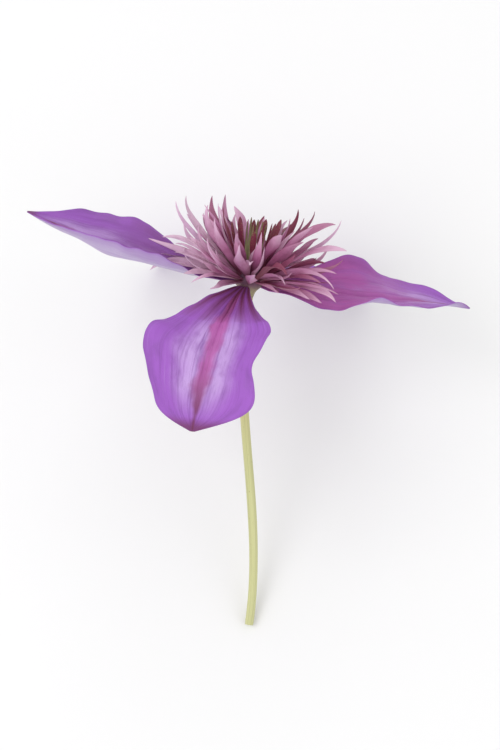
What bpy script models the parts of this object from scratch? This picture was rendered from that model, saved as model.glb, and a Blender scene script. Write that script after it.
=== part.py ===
"""A clematis flower, picked with its stalk and lying on a surface.

Five broad tepals stand round a small domed receptacle. The receptacle carries a boss of pointed
staminodes, with a ring of dark stamens inside them and a tuft of pistils on top. The flower rests on the
tips of its two back tepals and on the cut end of its stalk, so its face looks up at a slant.

The head is built in its own frame, with its centre at the origin, its face along +Z and its front tepal
near -Y. An empty named flower_head then lays it down.
"""

import math
import random
from collections import namedtuple

import bmesh
import bpy
from mathutils import Matrix, Vector

# How the flower lies. Angles are in degrees and lengths in metres, here and below.
FACE_RISE = 38.0
HEAD_TILT = 8.0
HEAD_CENTRE = Vector((0.0, 0.0255, 0.04840))

# Tepals. The outline gives the share of the full width at each share of the length, first of a broad
# blade with a blunt end and then of a slender one with a drawn-out tip.
TEPAL_THICKNESS = 0.0006
CLAW_RADIUS = 0.0046
CLAW_HEIGHT = -0.0010
BLADE_OUTLINE = (
    (0.00, 0.12, 0.12),
    (0.10, 0.26, 0.20),
    (0.22, 0.54, 0.44),
    (0.36, 0.81, 0.74),
    (0.50, 0.96, 0.95),
    (0.62, 1.00, 1.00),
    (0.74, 0.94, 0.82),
    (0.84, 0.81, 0.50),
    (0.92, 0.61, 0.22),
    (0.97, 0.36, 0.09),
    (1.00, 0.04, 0.02),
)
TEPAL_STATIONS = 20
TEPAL_COLUMNS = 10
FOLD_ROUNDING = 0.15  # how round the fold along the midrib is, as a share of the half width
RIPPLE_TURNS = 13.0  # the ripple of the margins along a tepal, in radians
RIPPLE_SHIFT = 1.7  # and how far one margin's is ahead of the other's

# Receptacle and stalk. Pieces that touch in life stand a hair's breadth apart here.
SEAT_GAP = 0.0003
DOME_RADIUS = 0.0038
DOME_HEIGHT = 0.0052
NECK_RADIUS = 0.0017
NECK_LENGTH = 0.0040
STALK_RADIUS = 0.0011
STALK_FLARE = 0.45  # how much thicker its top is
STALK_AIM = Vector((-0.16, -1.0, -0.40))  # the way that its cut end points
STALK_FOOT = Vector((0.0, -0.0490, 0.00102))
STALK_STATIONS = 22
STALK_SIDES = 12

# The boss: staminodes outside, stamens inside them, pistils on top, all along one spiral.
GOLDEN_ANGLE = math.radians(137.508)
STAMINODE_COUNT = 34
STAMEN_COUNT = 12
PISTIL_COUNT = 6
BOSS_COUNT = STAMINODE_COUNT + STAMEN_COUNT + PISTIL_COUNT
BOSS_SEED = 7
FOOT_GAP = 1.5 * SEAT_GAP
STAMINODE_LENGTH = 0.0210
CROWN = 0.26  # how much longer the staminodes at the sides are than those at the front and back
RIGHT_LIFT = 9.0  # how much steeper the ones on the right stand
STAMINODE_HALF_WIDTH = 0.0016
STAMINODE_HALF_THICKNESS = 0.00028
STAMEN_LENGTH = 0.0108
STAMEN_HALF_WIDTH = 0.00080
STAMEN_HALF_THICKNESS = 0.00036
PISTIL_LENGTH = 0.0100
PISTIL_HALF_WIDTH = 0.00060
PISTIL_HALF_THICKNESS = 0.00042
LOOSE_AZIMUTH = 42.0  # the side where the outer staminodes hang down
LOOSE_SPREAD = 20.0

STAMINODE_OUTLINE = (0.36, 0.62, 0.86, 1.00, 0.98, 0.82, 0.56, 0.30, 0.10)
STAMEN_OUTLINE = (0.42, 0.40, 0.42, 0.80, 1.00, 0.94, 0.40)
PISTIL_OUTLINE = (0.85, 1.00, 0.70, 0.52, 0.48, 0.34)

# rise is the angle above the head's own plane at the base and at the tip, and twist the same about the
# midrib.
Tepal = namedtuple(
    "Tepal",
    "name azimuth length width slender rise_base rise_tip sway twist_base twist_tip cup fold ripple phase",
)
TEPALS = (
    Tepal("tepal_front", -17, 0.0550, 0.0290, 0.0, -8, -43, 7, 2, 4, 0.08, 0.12, 0.0013, 0.4),
    Tepal("tepal_left", -97, 0.0530, 0.0260, 1.0, 3, 20, 4, -9, -4, 0.18, 0.14, 0.0008, 2.1),
    Tepal("tepal_right", 96, 0.0520, 0.0275, 0.7, 1, -4, 3, 42, -20, 0.12, 0.12, 0.0022, 1.0),
    Tepal("tepal_back_left", -160, 0.0540, 0.0280, 0.4, -4, -28, 3, 2, 4, 0.10, 0.10, 0.0011, 5.2),
    Tepal("tepal_back_right", 150, 0.0540, 0.0280, 0.6, -4, -22, -3, -2, -4, 0.10, 0.10, 0.0012, 1.2),
)

MATERIALS = {
    "tepal": ((0.36, 0.12, 0.52), 0.55),
    "staminode": ((0.50, 0.20, 0.36), 0.6),
    "stamen": ((0.22, 0.03, 0.08), 0.6),
    "pistil": ((0.36, 0.36, 0.14), 0.6),
    "stalk": ((0.42, 0.44, 0.18), 0.5),
}


def clear_scene():
    for thing in list(bpy.data.objects):
        bpy.data.objects.remove(thing)


def material(slot):
    """The named material, made on first use."""
    found = bpy.data.materials.get(slot)
    if found:
        return found
    colour, roughness = MATERIALS[slot]
    made = bpy.data.materials.new(slot)
    made.use_nodes = True
    shader = made.node_tree.nodes["Principled BSDF"]
    shader.inputs["Base Color"].default_value = (*colour, 1.0)
    shader.inputs["Roughness"].default_value = roughness
    shader.inputs["Metallic"].default_value = 0.0
    return made


def add_object(name, work, slot, parent=None):
    """Turns a bmesh into a smooth-shaded object with its material."""
    bmesh.ops.recalc_face_normals(work, faces=work.faces)
    mesh = bpy.data.meshes.new(name)
    work.to_mesh(mesh)
    work.free()
    mesh.shade_smooth()
    mesh.set_sharp_from_angle(angle=math.radians(50))
    mesh.materials.append(material(slot))
    made = bpy.data.objects.new(name, mesh)
    bpy.context.scene.collection.objects.link(made)
    made.parent = parent
    return made


def outward(azimuth):
    """Turns +X to the direction at this azimuth, in radians from the front (-Y) towards +X."""
    return Matrix.Rotation(azimuth - math.pi / 2, 3, "Z")


def heading(rise, yaw):
    """The forward, side and upward directions of what sets off along +X, turned by yaw and raised by rise."""
    along = Vector((math.cos(rise) * math.cos(yaw), math.cos(rise) * math.sin(yaw), math.sin(rise)))
    side = Vector((-math.sin(yaw), math.cos(yaw), 0))
    return along, side, along.cross(side)


def roll(side, up, angle):
    """The side and upward directions turned about the forward one."""
    return side * math.cos(angle) + up * math.sin(angle), up * math.cos(angle) - side * math.sin(angle)


# ---------------------------------------------------------------- tepals


def width_share(t, slender):
    """The blade's share of its full width at share t of its length. slender is 0 for a broad blade and 1 for
    a slender one."""
    for (t0, *before), (t1, *after) in zip(BLADE_OUTLINE, BLADE_OUTLINE[1:]):
        if t <= t1:
            break
    u = min(1.0, (t - t0) / (t1 - t0))
    broad, narrow = (a + (b - a) * u for a, b in zip(before, after))
    return broad + (narrow - broad) * slender


def tepal_heading(spec, t):
    """The midrib's forward, side and upward directions at share t of its length."""
    rise = spec.rise_base + (spec.rise_tip - spec.rise_base) * t**1.2
    return heading(math.radians(rise), math.radians(2 * spec.sway * t))


def tepal_frames(spec):
    """The midrib's points, with the blade's side and upward directions there."""
    at = Vector((CLAW_RADIUS, 0, CLAW_HEIGHT))
    frames = []
    for i in range(TEPAL_STATIONS + 1):
        t = i / TEPAL_STATIONS
        _, side, up = tepal_heading(spec, t)
        twist = spec.twist_base + (spec.twist_tip - spec.twist_base) * t
        frames.append((at.copy(), *roll(side, up, math.radians(twist))))
        at += tepal_heading(spec, (i + 0.5) / TEPAL_STATIONS)[0] * (spec.length / TEPAL_STATIONS)
    return frames


def make_tepal(spec, parent):
    """One tepal: a grid bent to the blade's shape, given its thickness by Solidify."""
    work = bmesh.new()
    bmesh.ops.create_grid(work, x_segments=TEPAL_STATIONS, y_segments=TEPAL_COLUMNS, size=1.0)
    frames = tepal_frames(spec)
    turn = outward(math.radians(spec.azimuth))
    for vert in work.verts:
        t = (vert.co.x + 1) / 2
        across = vert.co.y
        at, side, up = frames[round(t * TEPAL_STATIONS)]
        half = spec.width / 2 * width_share(t, spec.slender)
        lift = half * (spec.cup * across**2 + spec.fold * (math.hypot(across, FOLD_ROUNDING) - FOLD_ROUNDING))
        wave = math.sin(RIPPLE_TURNS * t + spec.phase + (RIPPLE_SHIFT if across > 0 else 0))
        lift += spec.ripple * across**2 * math.sin(math.pi * t) * wave
        vert.co = turn @ (at + side * (across * half) + up * lift)
    made = add_object(spec.name, work, "tepal", parent)
    wall = made.modifiers.new("thickness", "SOLIDIFY")
    wall.thickness = TEPAL_THICKNESS
    wall.offset = 0.0
    return made


# ---------------------------------------------------------------- lofted pieces


def loft(name, rings, slot, parent=None):
    """A closed body through rings of points, each ring with the same number of points."""
    work = bmesh.new()
    loops = [[work.verts.new(point) for point in ring] for ring in rings]
    count = len(loops[0])
    for low, high in zip(loops, loops[1:]):
        for k in range(count):
            work.faces.new((low[k], low[(k + 1) % count], high[(k + 1) % count], high[k]))
    work.faces.new(reversed(loops[0]))
    work.faces.new(loops[-1])
    return add_object(name, work, slot, parent)


def oval(at, side, up, half_side, half_up, count):
    """A ring of points on an ellipse."""
    angles = [2 * math.pi * k / count for k in range(count)]
    return [at + side * (half_side * math.cos(a)) + up * (half_up * math.sin(a)) for a in angles]


# ---------------------------------------------------------------- receptacle and stalk


def make_receptacle(parent):
    """The domed receptacle on its flared neck, turned from one outline."""
    outline = [
        (NECK_RADIUS, -NECK_LENGTH),
        (NECK_RADIUS * 1.15, -NECK_LENGTH * 0.6),
        (DOME_RADIUS * 0.92, -NECK_LENGTH * 0.35),
    ]
    for angle in (0, 15, 30, 45, 60, 75, 88):
        angle = math.radians(angle)
        outline.append((DOME_RADIUS * math.cos(angle), DOME_HEIGHT * math.sin(angle)))
    side, up = Vector((1, 0, 0)), Vector((0, 1, 0))
    rings = [oval(Vector((0, 0, z)), side, up, radius, radius, 20) for radius, z in outline]
    return loft("receptacle", rings, "stalk", parent)


def head_matrix():
    """Lays the head down: its face rises FACE_RISE above the surface and tilts by HEAD_TILT to the right."""
    lean = Matrix.Rotation(math.radians(FACE_RISE - 90), 4, "X")
    tilt = Matrix.Rotation(math.radians(HEAD_TILT), 4, "Y")
    return Matrix.Translation(HEAD_CENTRE) @ lean @ tilt


def bezier(a, b, c, d, t):
    return a * (1 - t) ** 3 + b * (3 * t * (1 - t) ** 2) + c * (3 * t * t * (1 - t)) + d * t**3


def make_stalk():
    """The stalk, from the receptacle's neck down to its cut end, a little thicker at the top."""
    head = head_matrix()
    top = head @ Vector((0, 0, -NECK_LENGTH - SEAT_GAP))
    down = head.to_3x3() @ Vector((0, 0, -1))
    away = STALK_AIM.normalized()
    reach = (STALK_FOOT - top).length / 3
    shares = [i / STALK_STATIONS for i in range(STALK_STATIONS + 1)]
    points = [bezier(top, top + down * reach, STALK_FOOT - away * reach, STALK_FOOT, t) for t in shares]
    rings = []
    for i, at in enumerate(points):
        ahead, behind = points[min(i + 1, STALK_STATIONS)], points[max(i - 1, 0)]
        along = (ahead - behind).normalized()
        side = along.cross(Vector((0, 0, 1))).normalized()
        radius = STALK_RADIUS * (1 + STALK_FLARE * math.exp(-i / 1.5))
        rings.append(oval(at, side, side.cross(along), radius, radius, STALK_SIDES))
    return loft("stalk", rings, "stalk")


# ---------------------------------------------------------------- the boss


def boss_seat(i):
    """Where piece i of the boss stands on the dome: its azimuth, and its angle from the head's axis."""
    share = (i + 0.5) / BOSS_COUNT
    return (i * GOLDEN_ANGLE) % (2 * math.pi), math.acos(min(1.0, share**0.9))


def boss_piece(name, i, outline, length, half_width, half_thickness, rise, droop, sway, spin, slot, parent):
    """One curved pointed piece of the boss. It sets off at rise above the head's plane, has bent down by
    droop and aside by sway at its tip, and turns by spin about its own length."""
    azimuth, polar = boss_seat(i)
    turn = outward(azimuth)
    at = Vector((DOME_RADIUS * math.sin(polar) + FOOT_GAP, 0, DOME_HEIGHT * math.cos(polar) + FOOT_GAP))
    steps = len(outline) - 1
    rings = []
    for k, share in enumerate(outline):
        t = k / steps
        _, side, up = heading(rise - droop * t**1.5, sway * t**1.3)
        side, up = roll(side, up, spin * t)
        thick = max(0.00010, half_thickness * (1 - 0.7 * t))
        wide = max(0.00012, half_width * share)
        rings.append([turn @ point for point in oval(at, side, up, wide, thick, 6)])
        t += 0.5 / steps
        at = at + heading(rise - droop * t**1.5, sway * t**1.3)[0] * (length / steps)
    return loft(name, rings, slot, parent)


def make_boss(parent):
    """All the pieces that stand on the receptacle, each a solid of its own."""
    chance = random.Random(BOSS_SEED)
    for i in range(STAMINODE_COUNT):
        inward = i / STAMINODE_COUNT
        azimuth = boss_seat(i)[0]
        off_side = math.degrees(azimuth) - LOOSE_AZIMUTH
        loose = math.exp(-((off_side / LOOSE_SPREAD) ** 2)) * max(0.0, 1 - 1.6 * inward)
        flank = 1 + CROWN * (abs(math.sin(azimuth)) - 0.5)
        lift = RIGHT_LIFT * max(0.0, math.sin(azimuth))
        boss_piece(
            f"staminode_{i + 1:02d}",
            i,
            STAMINODE_OUTLINE,
            STAMINODE_LENGTH * (1 - 0.40 * inward**2.5) * flank + chance.uniform(-0.0020, 0.0014),
            STAMINODE_HALF_WIDTH * (1 - 0.25 * inward) * chance.uniform(0.8, 1.1),
            STAMINODE_HALF_THICKNESS,
            math.radians(20 + 42 * inward + lift + chance.uniform(-4, 4)),
            math.radians(8 + 60 * loose + chance.uniform(-12, 10)),
            math.radians(chance.uniform(-14, 14)),
            math.radians(chance.uniform(-75, 75)),
            "staminode",
            parent,
        )
    for n in range(STAMEN_COUNT):
        boss_piece(
            f"stamen_{n + 1:02d}",
            STAMINODE_COUNT + n,
            STAMEN_OUTLINE,
            STAMEN_LENGTH + chance.uniform(-0.0012, 0.0012),
            STAMEN_HALF_WIDTH,
            STAMEN_HALF_THICKNESS,
            math.radians(66 + n + chance.uniform(-2, 2)),
            math.radians(-6),
            math.radians(chance.uniform(-6, 6)),
            math.radians(chance.uniform(-60, 60)),
            "stamen",
            parent,
        )
    for n in range(PISTIL_COUNT):
        boss_piece(
            f"pistil_{n + 1:02d}",
            STAMINODE_COUNT + STAMEN_COUNT + n,
            PISTIL_OUTLINE,
            PISTIL_LENGTH + chance.uniform(-0.0010, 0.0010),
            PISTIL_HALF_WIDTH,
            PISTIL_HALF_THICKNESS,
            math.radians(80 + n),
            math.radians(-4),
            math.radians(chance.uniform(-4, 4)),
            0.0,
            "pistil",
            parent,
        )


def main():
    clear_scene()
    head = bpy.data.objects.new("flower_head", None)
    bpy.context.scene.collection.objects.link(head)
    head.matrix_world = head_matrix()
    make_receptacle(head)
    for spec in TEPALS:
        make_tepal(spec, head)
    make_boss(head)
    make_stalk()


main()
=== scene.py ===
"""The looks of a clematis flower that lies, as picked, on a pale surface.

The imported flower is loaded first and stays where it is. Each operator then models one kind of piece over
it, at the same place and size but finer, and gives it a material. The flower's own frame has its centre at
the origin, its face along +Z and its front tepal near -Y, and head_matrix() lays it down.
"""

import math
import random
from collections import namedtuple

import bpy
from bpy.props import FloatProperty, FloatVectorProperty, IntProperty, PointerProperty
from mathutils import Matrix, Vector, noise


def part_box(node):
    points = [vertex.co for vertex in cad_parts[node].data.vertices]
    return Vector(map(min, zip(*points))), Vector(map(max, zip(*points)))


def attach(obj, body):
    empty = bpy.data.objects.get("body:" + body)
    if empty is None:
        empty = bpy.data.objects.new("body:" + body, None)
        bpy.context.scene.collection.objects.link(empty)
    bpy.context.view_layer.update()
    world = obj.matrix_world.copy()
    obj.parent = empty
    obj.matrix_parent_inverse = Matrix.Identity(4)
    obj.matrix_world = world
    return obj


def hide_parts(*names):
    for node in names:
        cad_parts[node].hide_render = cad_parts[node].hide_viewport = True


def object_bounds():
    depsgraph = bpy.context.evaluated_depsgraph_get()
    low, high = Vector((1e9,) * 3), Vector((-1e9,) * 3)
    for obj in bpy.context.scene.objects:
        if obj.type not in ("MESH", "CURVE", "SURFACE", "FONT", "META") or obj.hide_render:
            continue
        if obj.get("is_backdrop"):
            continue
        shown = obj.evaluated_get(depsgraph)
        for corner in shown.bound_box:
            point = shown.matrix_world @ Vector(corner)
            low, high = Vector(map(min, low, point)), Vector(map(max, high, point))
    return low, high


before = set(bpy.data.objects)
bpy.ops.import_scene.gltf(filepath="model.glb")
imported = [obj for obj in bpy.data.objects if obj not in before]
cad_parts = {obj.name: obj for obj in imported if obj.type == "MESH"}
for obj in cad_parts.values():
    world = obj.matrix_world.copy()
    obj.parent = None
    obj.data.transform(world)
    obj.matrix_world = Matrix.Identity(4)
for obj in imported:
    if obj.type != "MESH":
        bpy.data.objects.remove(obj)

bl_info = {
    "name": "Clematis Flower",
    "version": (1, 0, 0),
    "blender": (4, 5, 0),
    "location": "View3D > Sidebar > Clematis",
    "description": "Models the tepals, boss and stalk of a picked clematis flower on a pale stage",
    "category": "Add Mesh",
}

# How the head lies, in degrees and metres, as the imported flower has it.
FACE_RISE = 38.0
HEAD_TILT = 8.0

# Tepals. The outline gives the share of the full width at each share of the length, first of a broad
# blade with a blunt end and then of a slender one with a drawn-out tip.
CLAW_RADIUS = 0.0046
CLAW_HEIGHT = -0.0010
BLADE_OUTLINE = (
    (0.00, 0.12, 0.12),
    (0.10, 0.26, 0.20),
    (0.22, 0.54, 0.44),
    (0.36, 0.81, 0.74),
    (0.50, 0.96, 0.95),
    (0.62, 1.00, 1.00),
    (0.74, 0.94, 0.82),
    (0.84, 0.81, 0.50),
    (0.92, 0.61, 0.22),
    (0.97, 0.36, 0.09),
    (1.00, 0.04, 0.02),
)
BLADE_STATIONS = 120
BLADE_COLUMNS = 72
CLAW_TUCK = 0.0019  # how far a claw goes on into the receptacle
CLAW_FOOT = 0.4  # how wide it is there, as a share of its first width
FOLD_ROUNDING = 0.15  # how round the fold along the midrib is, as a share of the half width
RIPPLE_TURNS = 13.0  # the ripple of the margins along a tepal, in radians
RIPPLE_SHIFT = 1.7  # and how far one margin's is ahead of the other's
MARGIN_THICKNESS = 0.45  # as a share of the thickness along the midrib

# Receptacle and stalk.
SEAT_GAP = 0.0003
DOME_RADIUS = 0.0038
DOME_HEIGHT = 0.0052
DOME_STATIONS = 36
DOME_SIDES = 40
NECK_RADIUS = 0.0017
NECK_LENGTH = 0.0040
STALK_RADIUS = 0.0011
STALK_FLARE = 0.45  # how much thicker its top is
STALK_FOOT = Vector((0.0, 0.0004, 0.00102))  # its cut end, from the low corner of its box
STALK_AIM = Vector((-0.16, -1.0, -0.40))  # the way that its cut end points
CUT_ROUNDING = 0.00006
STALK_STATIONS = 150
STALK_SIDES = 28

# The boss.
GOLDEN_ANGLE = math.radians(137.508)
STAMINODE_COUNT = 34
STAMEN_COUNT = 12
PISTIL_COUNT = 6
BOSS_COUNT = STAMINODE_COUNT + STAMEN_COUNT + PISTIL_COUNT
BOSS_SEED = 7
STAMINODE_LENGTH = 0.0210
CROWN = 0.26  # how much longer the staminodes at the sides are than those at the front and back
RIGHT_LIFT = 9.0  # how much steeper the ones on the right stand, in degrees
STAMINODE_HALF_WIDTH = 0.0016
STAMINODE_HALF_THICKNESS = 0.00020
FILLER_LENGTH = 0.0170
FILLER_HALF_THICKNESS = 0.00018
STAMEN_LENGTH = 0.0108
STAMEN_HALF_WIDTH = 0.00080
STAMEN_HALF_THICKNESS = 0.00036
PISTIL_LENGTH = 0.0100
PISTIL_HALF_WIDTH = 0.00060
PISTIL_HALF_THICKNESS = 0.00042
LOOSE_AZIMUTH = 42.0  # the side where the outer staminodes hang down, in degrees
LOOSE_SPREAD = 20.0
STAMINODE_OUTLINE = (0.36, 0.62, 0.86, 1.00, 0.98, 0.82, 0.56, 0.30, 0.10)
STAMEN_OUTLINE = (0.42, 0.40, 0.42, 0.80, 1.00, 0.94, 0.40)
PISTIL_OUTLINE = (0.85, 1.00, 0.70, 0.52, 0.48, 0.34)
SPOON_OUTLINE = (0.30, 0.28, 0.30, 0.42, 0.74, 1.00, 0.92, 0.52, 0.10)
FOOT_GAP = 1.5 * SEAT_GAP
BOSS_TUCK = 0.0008  # how far the foot of a piece goes on into the receptacle
STAMINODE_STATIONS = 20
STAMINODE_SIDES = 12
STAMEN_STATIONS = 14
STAMEN_SIDES = 10

# The stage. Lamps are name, place from the middle of the flower, size and power.
FLOOR_SIZE = 8.0
FLOOR_DROP = 0.0002
FLOOR_WHITE = (0.86, 0.86, 0.86, 1.0)
SKY_WHITE = (1.0, 1.0, 1.0, 1.0)
SKY_STRENGTH = 0.75
LAMPS = (
    ("key", (-0.55, -0.25, 0.95), 0.8, 5.5),
    ("fill", (0.80, -0.35, 0.55), 0.9, 1.6),
    ("back", (0.10, 0.95, 0.60), 0.8, 1.6),
)
CAMERA_RISE = 70.0
CAMERA_DISTANCE = 0.9
CAMERA_LENS = 175
CAMERA_AIM = Vector((0, 0.004, 0))

# rise is the angle above the head's own plane at the base and at the tip, and twist the same about the
# midrib.
Tepal = namedtuple(
    "Tepal",
    "name azimuth length width slender rise_base rise_tip sway twist_base twist_tip cup fold ripple phase",
)
TEPALS = (
    Tepal("tepal_front", -17, 0.0550, 0.0290, 0.0, -8, -43, 7, 2, 4, 0.08, 0.12, 0.0013, 0.4),
    Tepal("tepal_left", -97, 0.0530, 0.0260, 1.0, 3, 20, 4, -9, -4, 0.18, 0.14, 0.0008, 2.1),
    Tepal("tepal_right", 96, 0.0520, 0.0275, 0.7, 1, -4, 3, 42, -20, 0.12, 0.12, 0.0022, 1.0),
    Tepal("tepal_back_left", -160, 0.0540, 0.0280, 0.4, -4, -28, 3, 2, 4, 0.10, 0.10, 0.0011, 5.2),
    Tepal("tepal_back_right", 150, 0.0540, 0.0280, 0.6, -4, -22, -3, -2, -4, 0.10, 0.10, 0.0012, 1.2),
)

# What only shows close up. curl lifts the first and the second margin of a tepal, the flush is how far the
# maroon of its base spreads and, on the side tepals, how far a painted shadow of the boss darkens that base,
# and margins gives how far each margin bulges or notches, as the share of the half width at shares of the
# length.
Trim = namedtuple("Trim", "curl flush margins")
EVEN = ((0, 1), (1, 1))
TRIMS = {
    "tepal_front": Trim(
        (0, 0),
        0.35,
        (
            ((0, 1), (0.2, 0.84), (0.32, 0.94), (0.52, 1.14), (0.7, 1), (0.85, 0.9), (0.94, 1.1), (1, 1.2)),
            ((0, 1), (0.2, 0.9), (0.42, 1.04), (0.65, 0.72), (0.82, 1.1), (0.92, 1.4), (1, 1.2)),
        ),
    ),
    "tepal_left": Trim((0, 0.3), 0.8, (((0, 1), (0.55, 1.06), (0.8, 1), (1, 1)), EVEN)),
    "tepal_right": Trim(
        (0, 0),
        1.0,
        (
            ((0, 1), (0.2, 0.95), (0.4, 0.76), (0.65, 0.95), (0.8, 1.08), (1, 1)),
            ((0, 1), (0.24, 1.08), (0.42, 0.84), (0.6, 0.88), (0.8, 1.1), (1, 1)),
        ),
    ),
    "tepal_back_left": Trim((0, 0), 0.35, (((0, 1), (0.5, 1.05), (0.68, 0.93), (0.8, 1.05), (1, 1)), EVEN)),
    "tepal_back_right": Trim((0, 0), 0.35, (EVEN, ((0, 1), (0.4, 1.04), (0.6, 0.94), (0.78, 1.06), (1, 1)))),
}


# ---------------------------------------------------------------- what a user may change


def length_setting(name, description, default, most):
    """A small length, in metres."""
    return FloatProperty(
        name=name,
        description=description,
        default=default,
        min=0.0,
        max=most,
        precision=5,
        unit="LENGTH",
    )


def colour_setting(name, description, default):
    return FloatVectorProperty(
        name=name,
        description=description,
        default=default,
        min=0.0,
        max=1.0,
        subtype="COLOR",
    )


class ClematisSizes(bpy.types.PropertyGroup):
    tepal_thickness: length_setting(
        "Tepal Thickness", "Thickness of a tepal along its midrib", 0.00036, 0.001
    )
    groove_depth: length_setting(
        "Groove Depth", "How deep the groove over a tepal's midrib is", 0.00042, 0.001
    )
    ruffle: length_setting(
        "Ruffle", "How far a tepal's margin waves up and down, beyond its broad ripple", 0.0005, 0.003
    )
    filler_count: IntProperty(
        name="Small Staminodes",
        description="How many small staminodes stand between the large ones",
        default=64,
        min=0,
        max=120,
    )


class ClematisColours(bpy.types.PropertyGroup):
    margin: colour_setting("Margin", "Violet of a tepal's margins", (0.375, 0.110, 0.580))
    band: colour_setting("Band", "Pale band on each side of a tepal's bar", (0.640, 0.420, 0.820))
    bar: colour_setting("Bar", "Magenta bar along a tepal's midrib", (0.490, 0.102, 0.400))
    maroon: colour_setting(
        "Maroon", "Dark stripes at a tepal's base and the end of its bar", (0.175, 0.026, 0.090)
    )
    underside: colour_setting("Underside", "Pale lavender of a tepal's underside", (0.620, 0.500, 0.760))
    rib: colour_setting("Rib", "Cream band along the midrib of a tepal's underside", (0.800, 0.760, 0.620))
    mauve: colour_setting("Mauve", "Pink-mauve of the staminodes", (0.500, 0.170, 0.350))
    crimson: colour_setting(
        "Crimson", "Crimson at the foot of the staminodes and on the stamens", (0.185, 0.022, 0.054)
    )
    stalk: colour_setting("Stalk", "Yellow-green of the stalk", (0.580, 0.580, 0.280))


# ---------------------------------------------------------------- directions


def outward(azimuth):
    """Turns +X to the direction at this azimuth, in radians from the front (-Y) towards +X."""
    return Matrix.Rotation(azimuth - math.pi / 2, 3, "Z")


def heading(rise, yaw):
    """The forward, side and upward directions of what sets off along +X, turned by yaw and raised by rise."""
    along = Vector((math.cos(rise) * math.cos(yaw), math.cos(rise) * math.sin(yaw), math.sin(rise)))
    side = Vector((-math.sin(yaw), math.cos(yaw), 0))
    return along, side, along.cross(side)


def roll(side, up, angle):
    """The side and upward directions turned about the forward one."""
    return side * math.cos(angle) + up * math.sin(angle), up * math.cos(angle) - side * math.sin(angle)


def dome_outline():
    """The receptacle's outline as radius and height, from the foot of its neck to the top of its dome."""
    outline = [
        (NECK_RADIUS, -NECK_LENGTH),
        (NECK_RADIUS * 1.15, -NECK_LENGTH * 0.6),
        (DOME_RADIUS * 0.92, -NECK_LENGTH * 0.35),
    ]
    for angle in (0, 15, 30, 45, 60, 75, 88):
        angle = math.radians(angle)
        outline.append((DOME_RADIUS * math.cos(angle), DOME_HEIGHT * math.sin(angle)))
    return outline


def head_rotation():
    """Leans the face back to FACE_RISE above the surface and tilts it to the right."""
    lean = Matrix.Rotation(math.radians(FACE_RISE - 90), 3, "X")
    return lean @ Matrix.Rotation(math.radians(HEAD_TILT), 3, "Y")


def head_matrix():
    """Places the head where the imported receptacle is."""
    turn = head_rotation()
    ring = [2 * math.pi * k / 20 for k in range(20)]
    points = [turn @ Vector((r * math.cos(a), r * math.sin(a), z)) for r, z in dome_outline() for a in ring]
    middle = Vector([(min(p[k] for p in points) + max(p[k] for p in points)) / 2 for k in range(3)])
    low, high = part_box("receptacle")
    return Matrix.Translation((low + high) / 2 - middle) @ turn.to_4x4()


def bezier(a, b, c, d, t):
    """The point at share t of the curve from a to d, drawn towards b and c."""
    return a * (1 - t) ** 3 + b * (3 * t * (1 - t) ** 2) + c * (3 * t * t * (1 - t)) + d * t**3


def eased(pairs, stations):
    """The broken line through the pairs, at each station, with its corners rounded off."""
    values = [between(pairs, i / stations) for i in range(stations + 1)]
    for _ in range(stations // 4):
        inner = [(a + 2 * b + c) / 4 for a, b, c in zip(values, values[1:], values[2:])]
        values = [values[0], *inner, values[-1]]
    return values


def between(pairs, t):
    """The value at t on the broken line through the pairs (t, value)."""
    for (t0, v0), (t1, v1) in zip(pairs, pairs[1:]):
        if t <= t1:
            break
    return v0 + (v1 - v0) * min(1.0, (t - t0) / (t1 - t0))


# ---------------------------------------------------------------- modelling by hand


def deselect_all():
    if bpy.context.object and bpy.context.object.mode != "OBJECT":
        bpy.ops.object.mode_set(mode="OBJECT")
    bpy.ops.object.select_all(action="DESELECT")


def pick(piece):
    """Makes this the one selected and active object."""
    deselect_all()
    piece.select_set(True)
    bpy.context.view_layer.objects.active = piece


def blank_sheet(name, stations, columns):
    """A flat grid, 0 to 1 along X and -1 to 1 across Y, with its UV map along and across."""
    deselect_all()
    bpy.ops.mesh.primitive_grid_add(x_subdivisions=stations, y_subdivisions=columns, size=2, calc_uvs=True)
    sheet = bpy.context.object
    sheet.name = name
    bpy.ops.object.mode_set(mode="EDIT")
    bpy.ops.mesh.select_all(action="SELECT")
    bpy.ops.transform.translate(value=(1, 0, 0))
    bpy.ops.transform.resize(value=(0.5, 1, 1), center_override=(0, 0, 0))
    bpy.ops.object.mode_set(mode="OBJECT")
    return sheet


def blank_rod(name, stations, sides):
    """A closed rod of radius 1 from 0 to 1 along X, rolled up from a sheet, with its UV along and around."""
    rod = blank_sheet(name, stations, sides)
    for vert in rod.data.vertices:
        angle = math.pi * (vert.co.y + 1)
        vert.co.y, vert.co.z = math.cos(angle), math.sin(angle)
    pick(rod)
    bpy.ops.object.mode_set(mode="EDIT")
    bpy.ops.mesh.select_all(action="SELECT")
    bpy.ops.mesh.remove_doubles(threshold=0.0001)
    bpy.ops.mesh.select_all(action="DESELECT")
    bpy.ops.mesh.select_non_manifold()
    bpy.ops.mesh.fill_holes(sides=0)
    bpy.ops.mesh.select_all(action="SELECT")
    bpy.ops.mesh.normals_make_consistent(inside=False)
    bpy.ops.object.mode_set(mode="OBJECT")
    return rod


def copy_of(master, name):
    """A copy with its own mesh."""
    piece = master.copy()
    piece.data = master.data.copy()
    piece.name = piece.data.name = name
    bpy.context.scene.collection.objects.link(piece)
    return piece


def shape(piece, place, matrix):
    """Moves each point of a piece from its blank to where place puts it, laid down by matrix."""
    for vert in piece.data.vertices:
        vert.co = matrix @ place(vert.co)
    piece.data.update()


def discard(*pieces):
    for piece in pieces:
        bpy.data.objects.remove(piece)


def finish_piece(piece, replaced=()):
    """Shades a piece smooth, hangs it under the root body and hides the imported parts that it replaces."""
    pick(piece)
    bpy.ops.object.shade_smooth_by_angle(angle=math.radians(60))
    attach(piece, "root")
    if replaced:
        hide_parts(*replaced)


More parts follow.
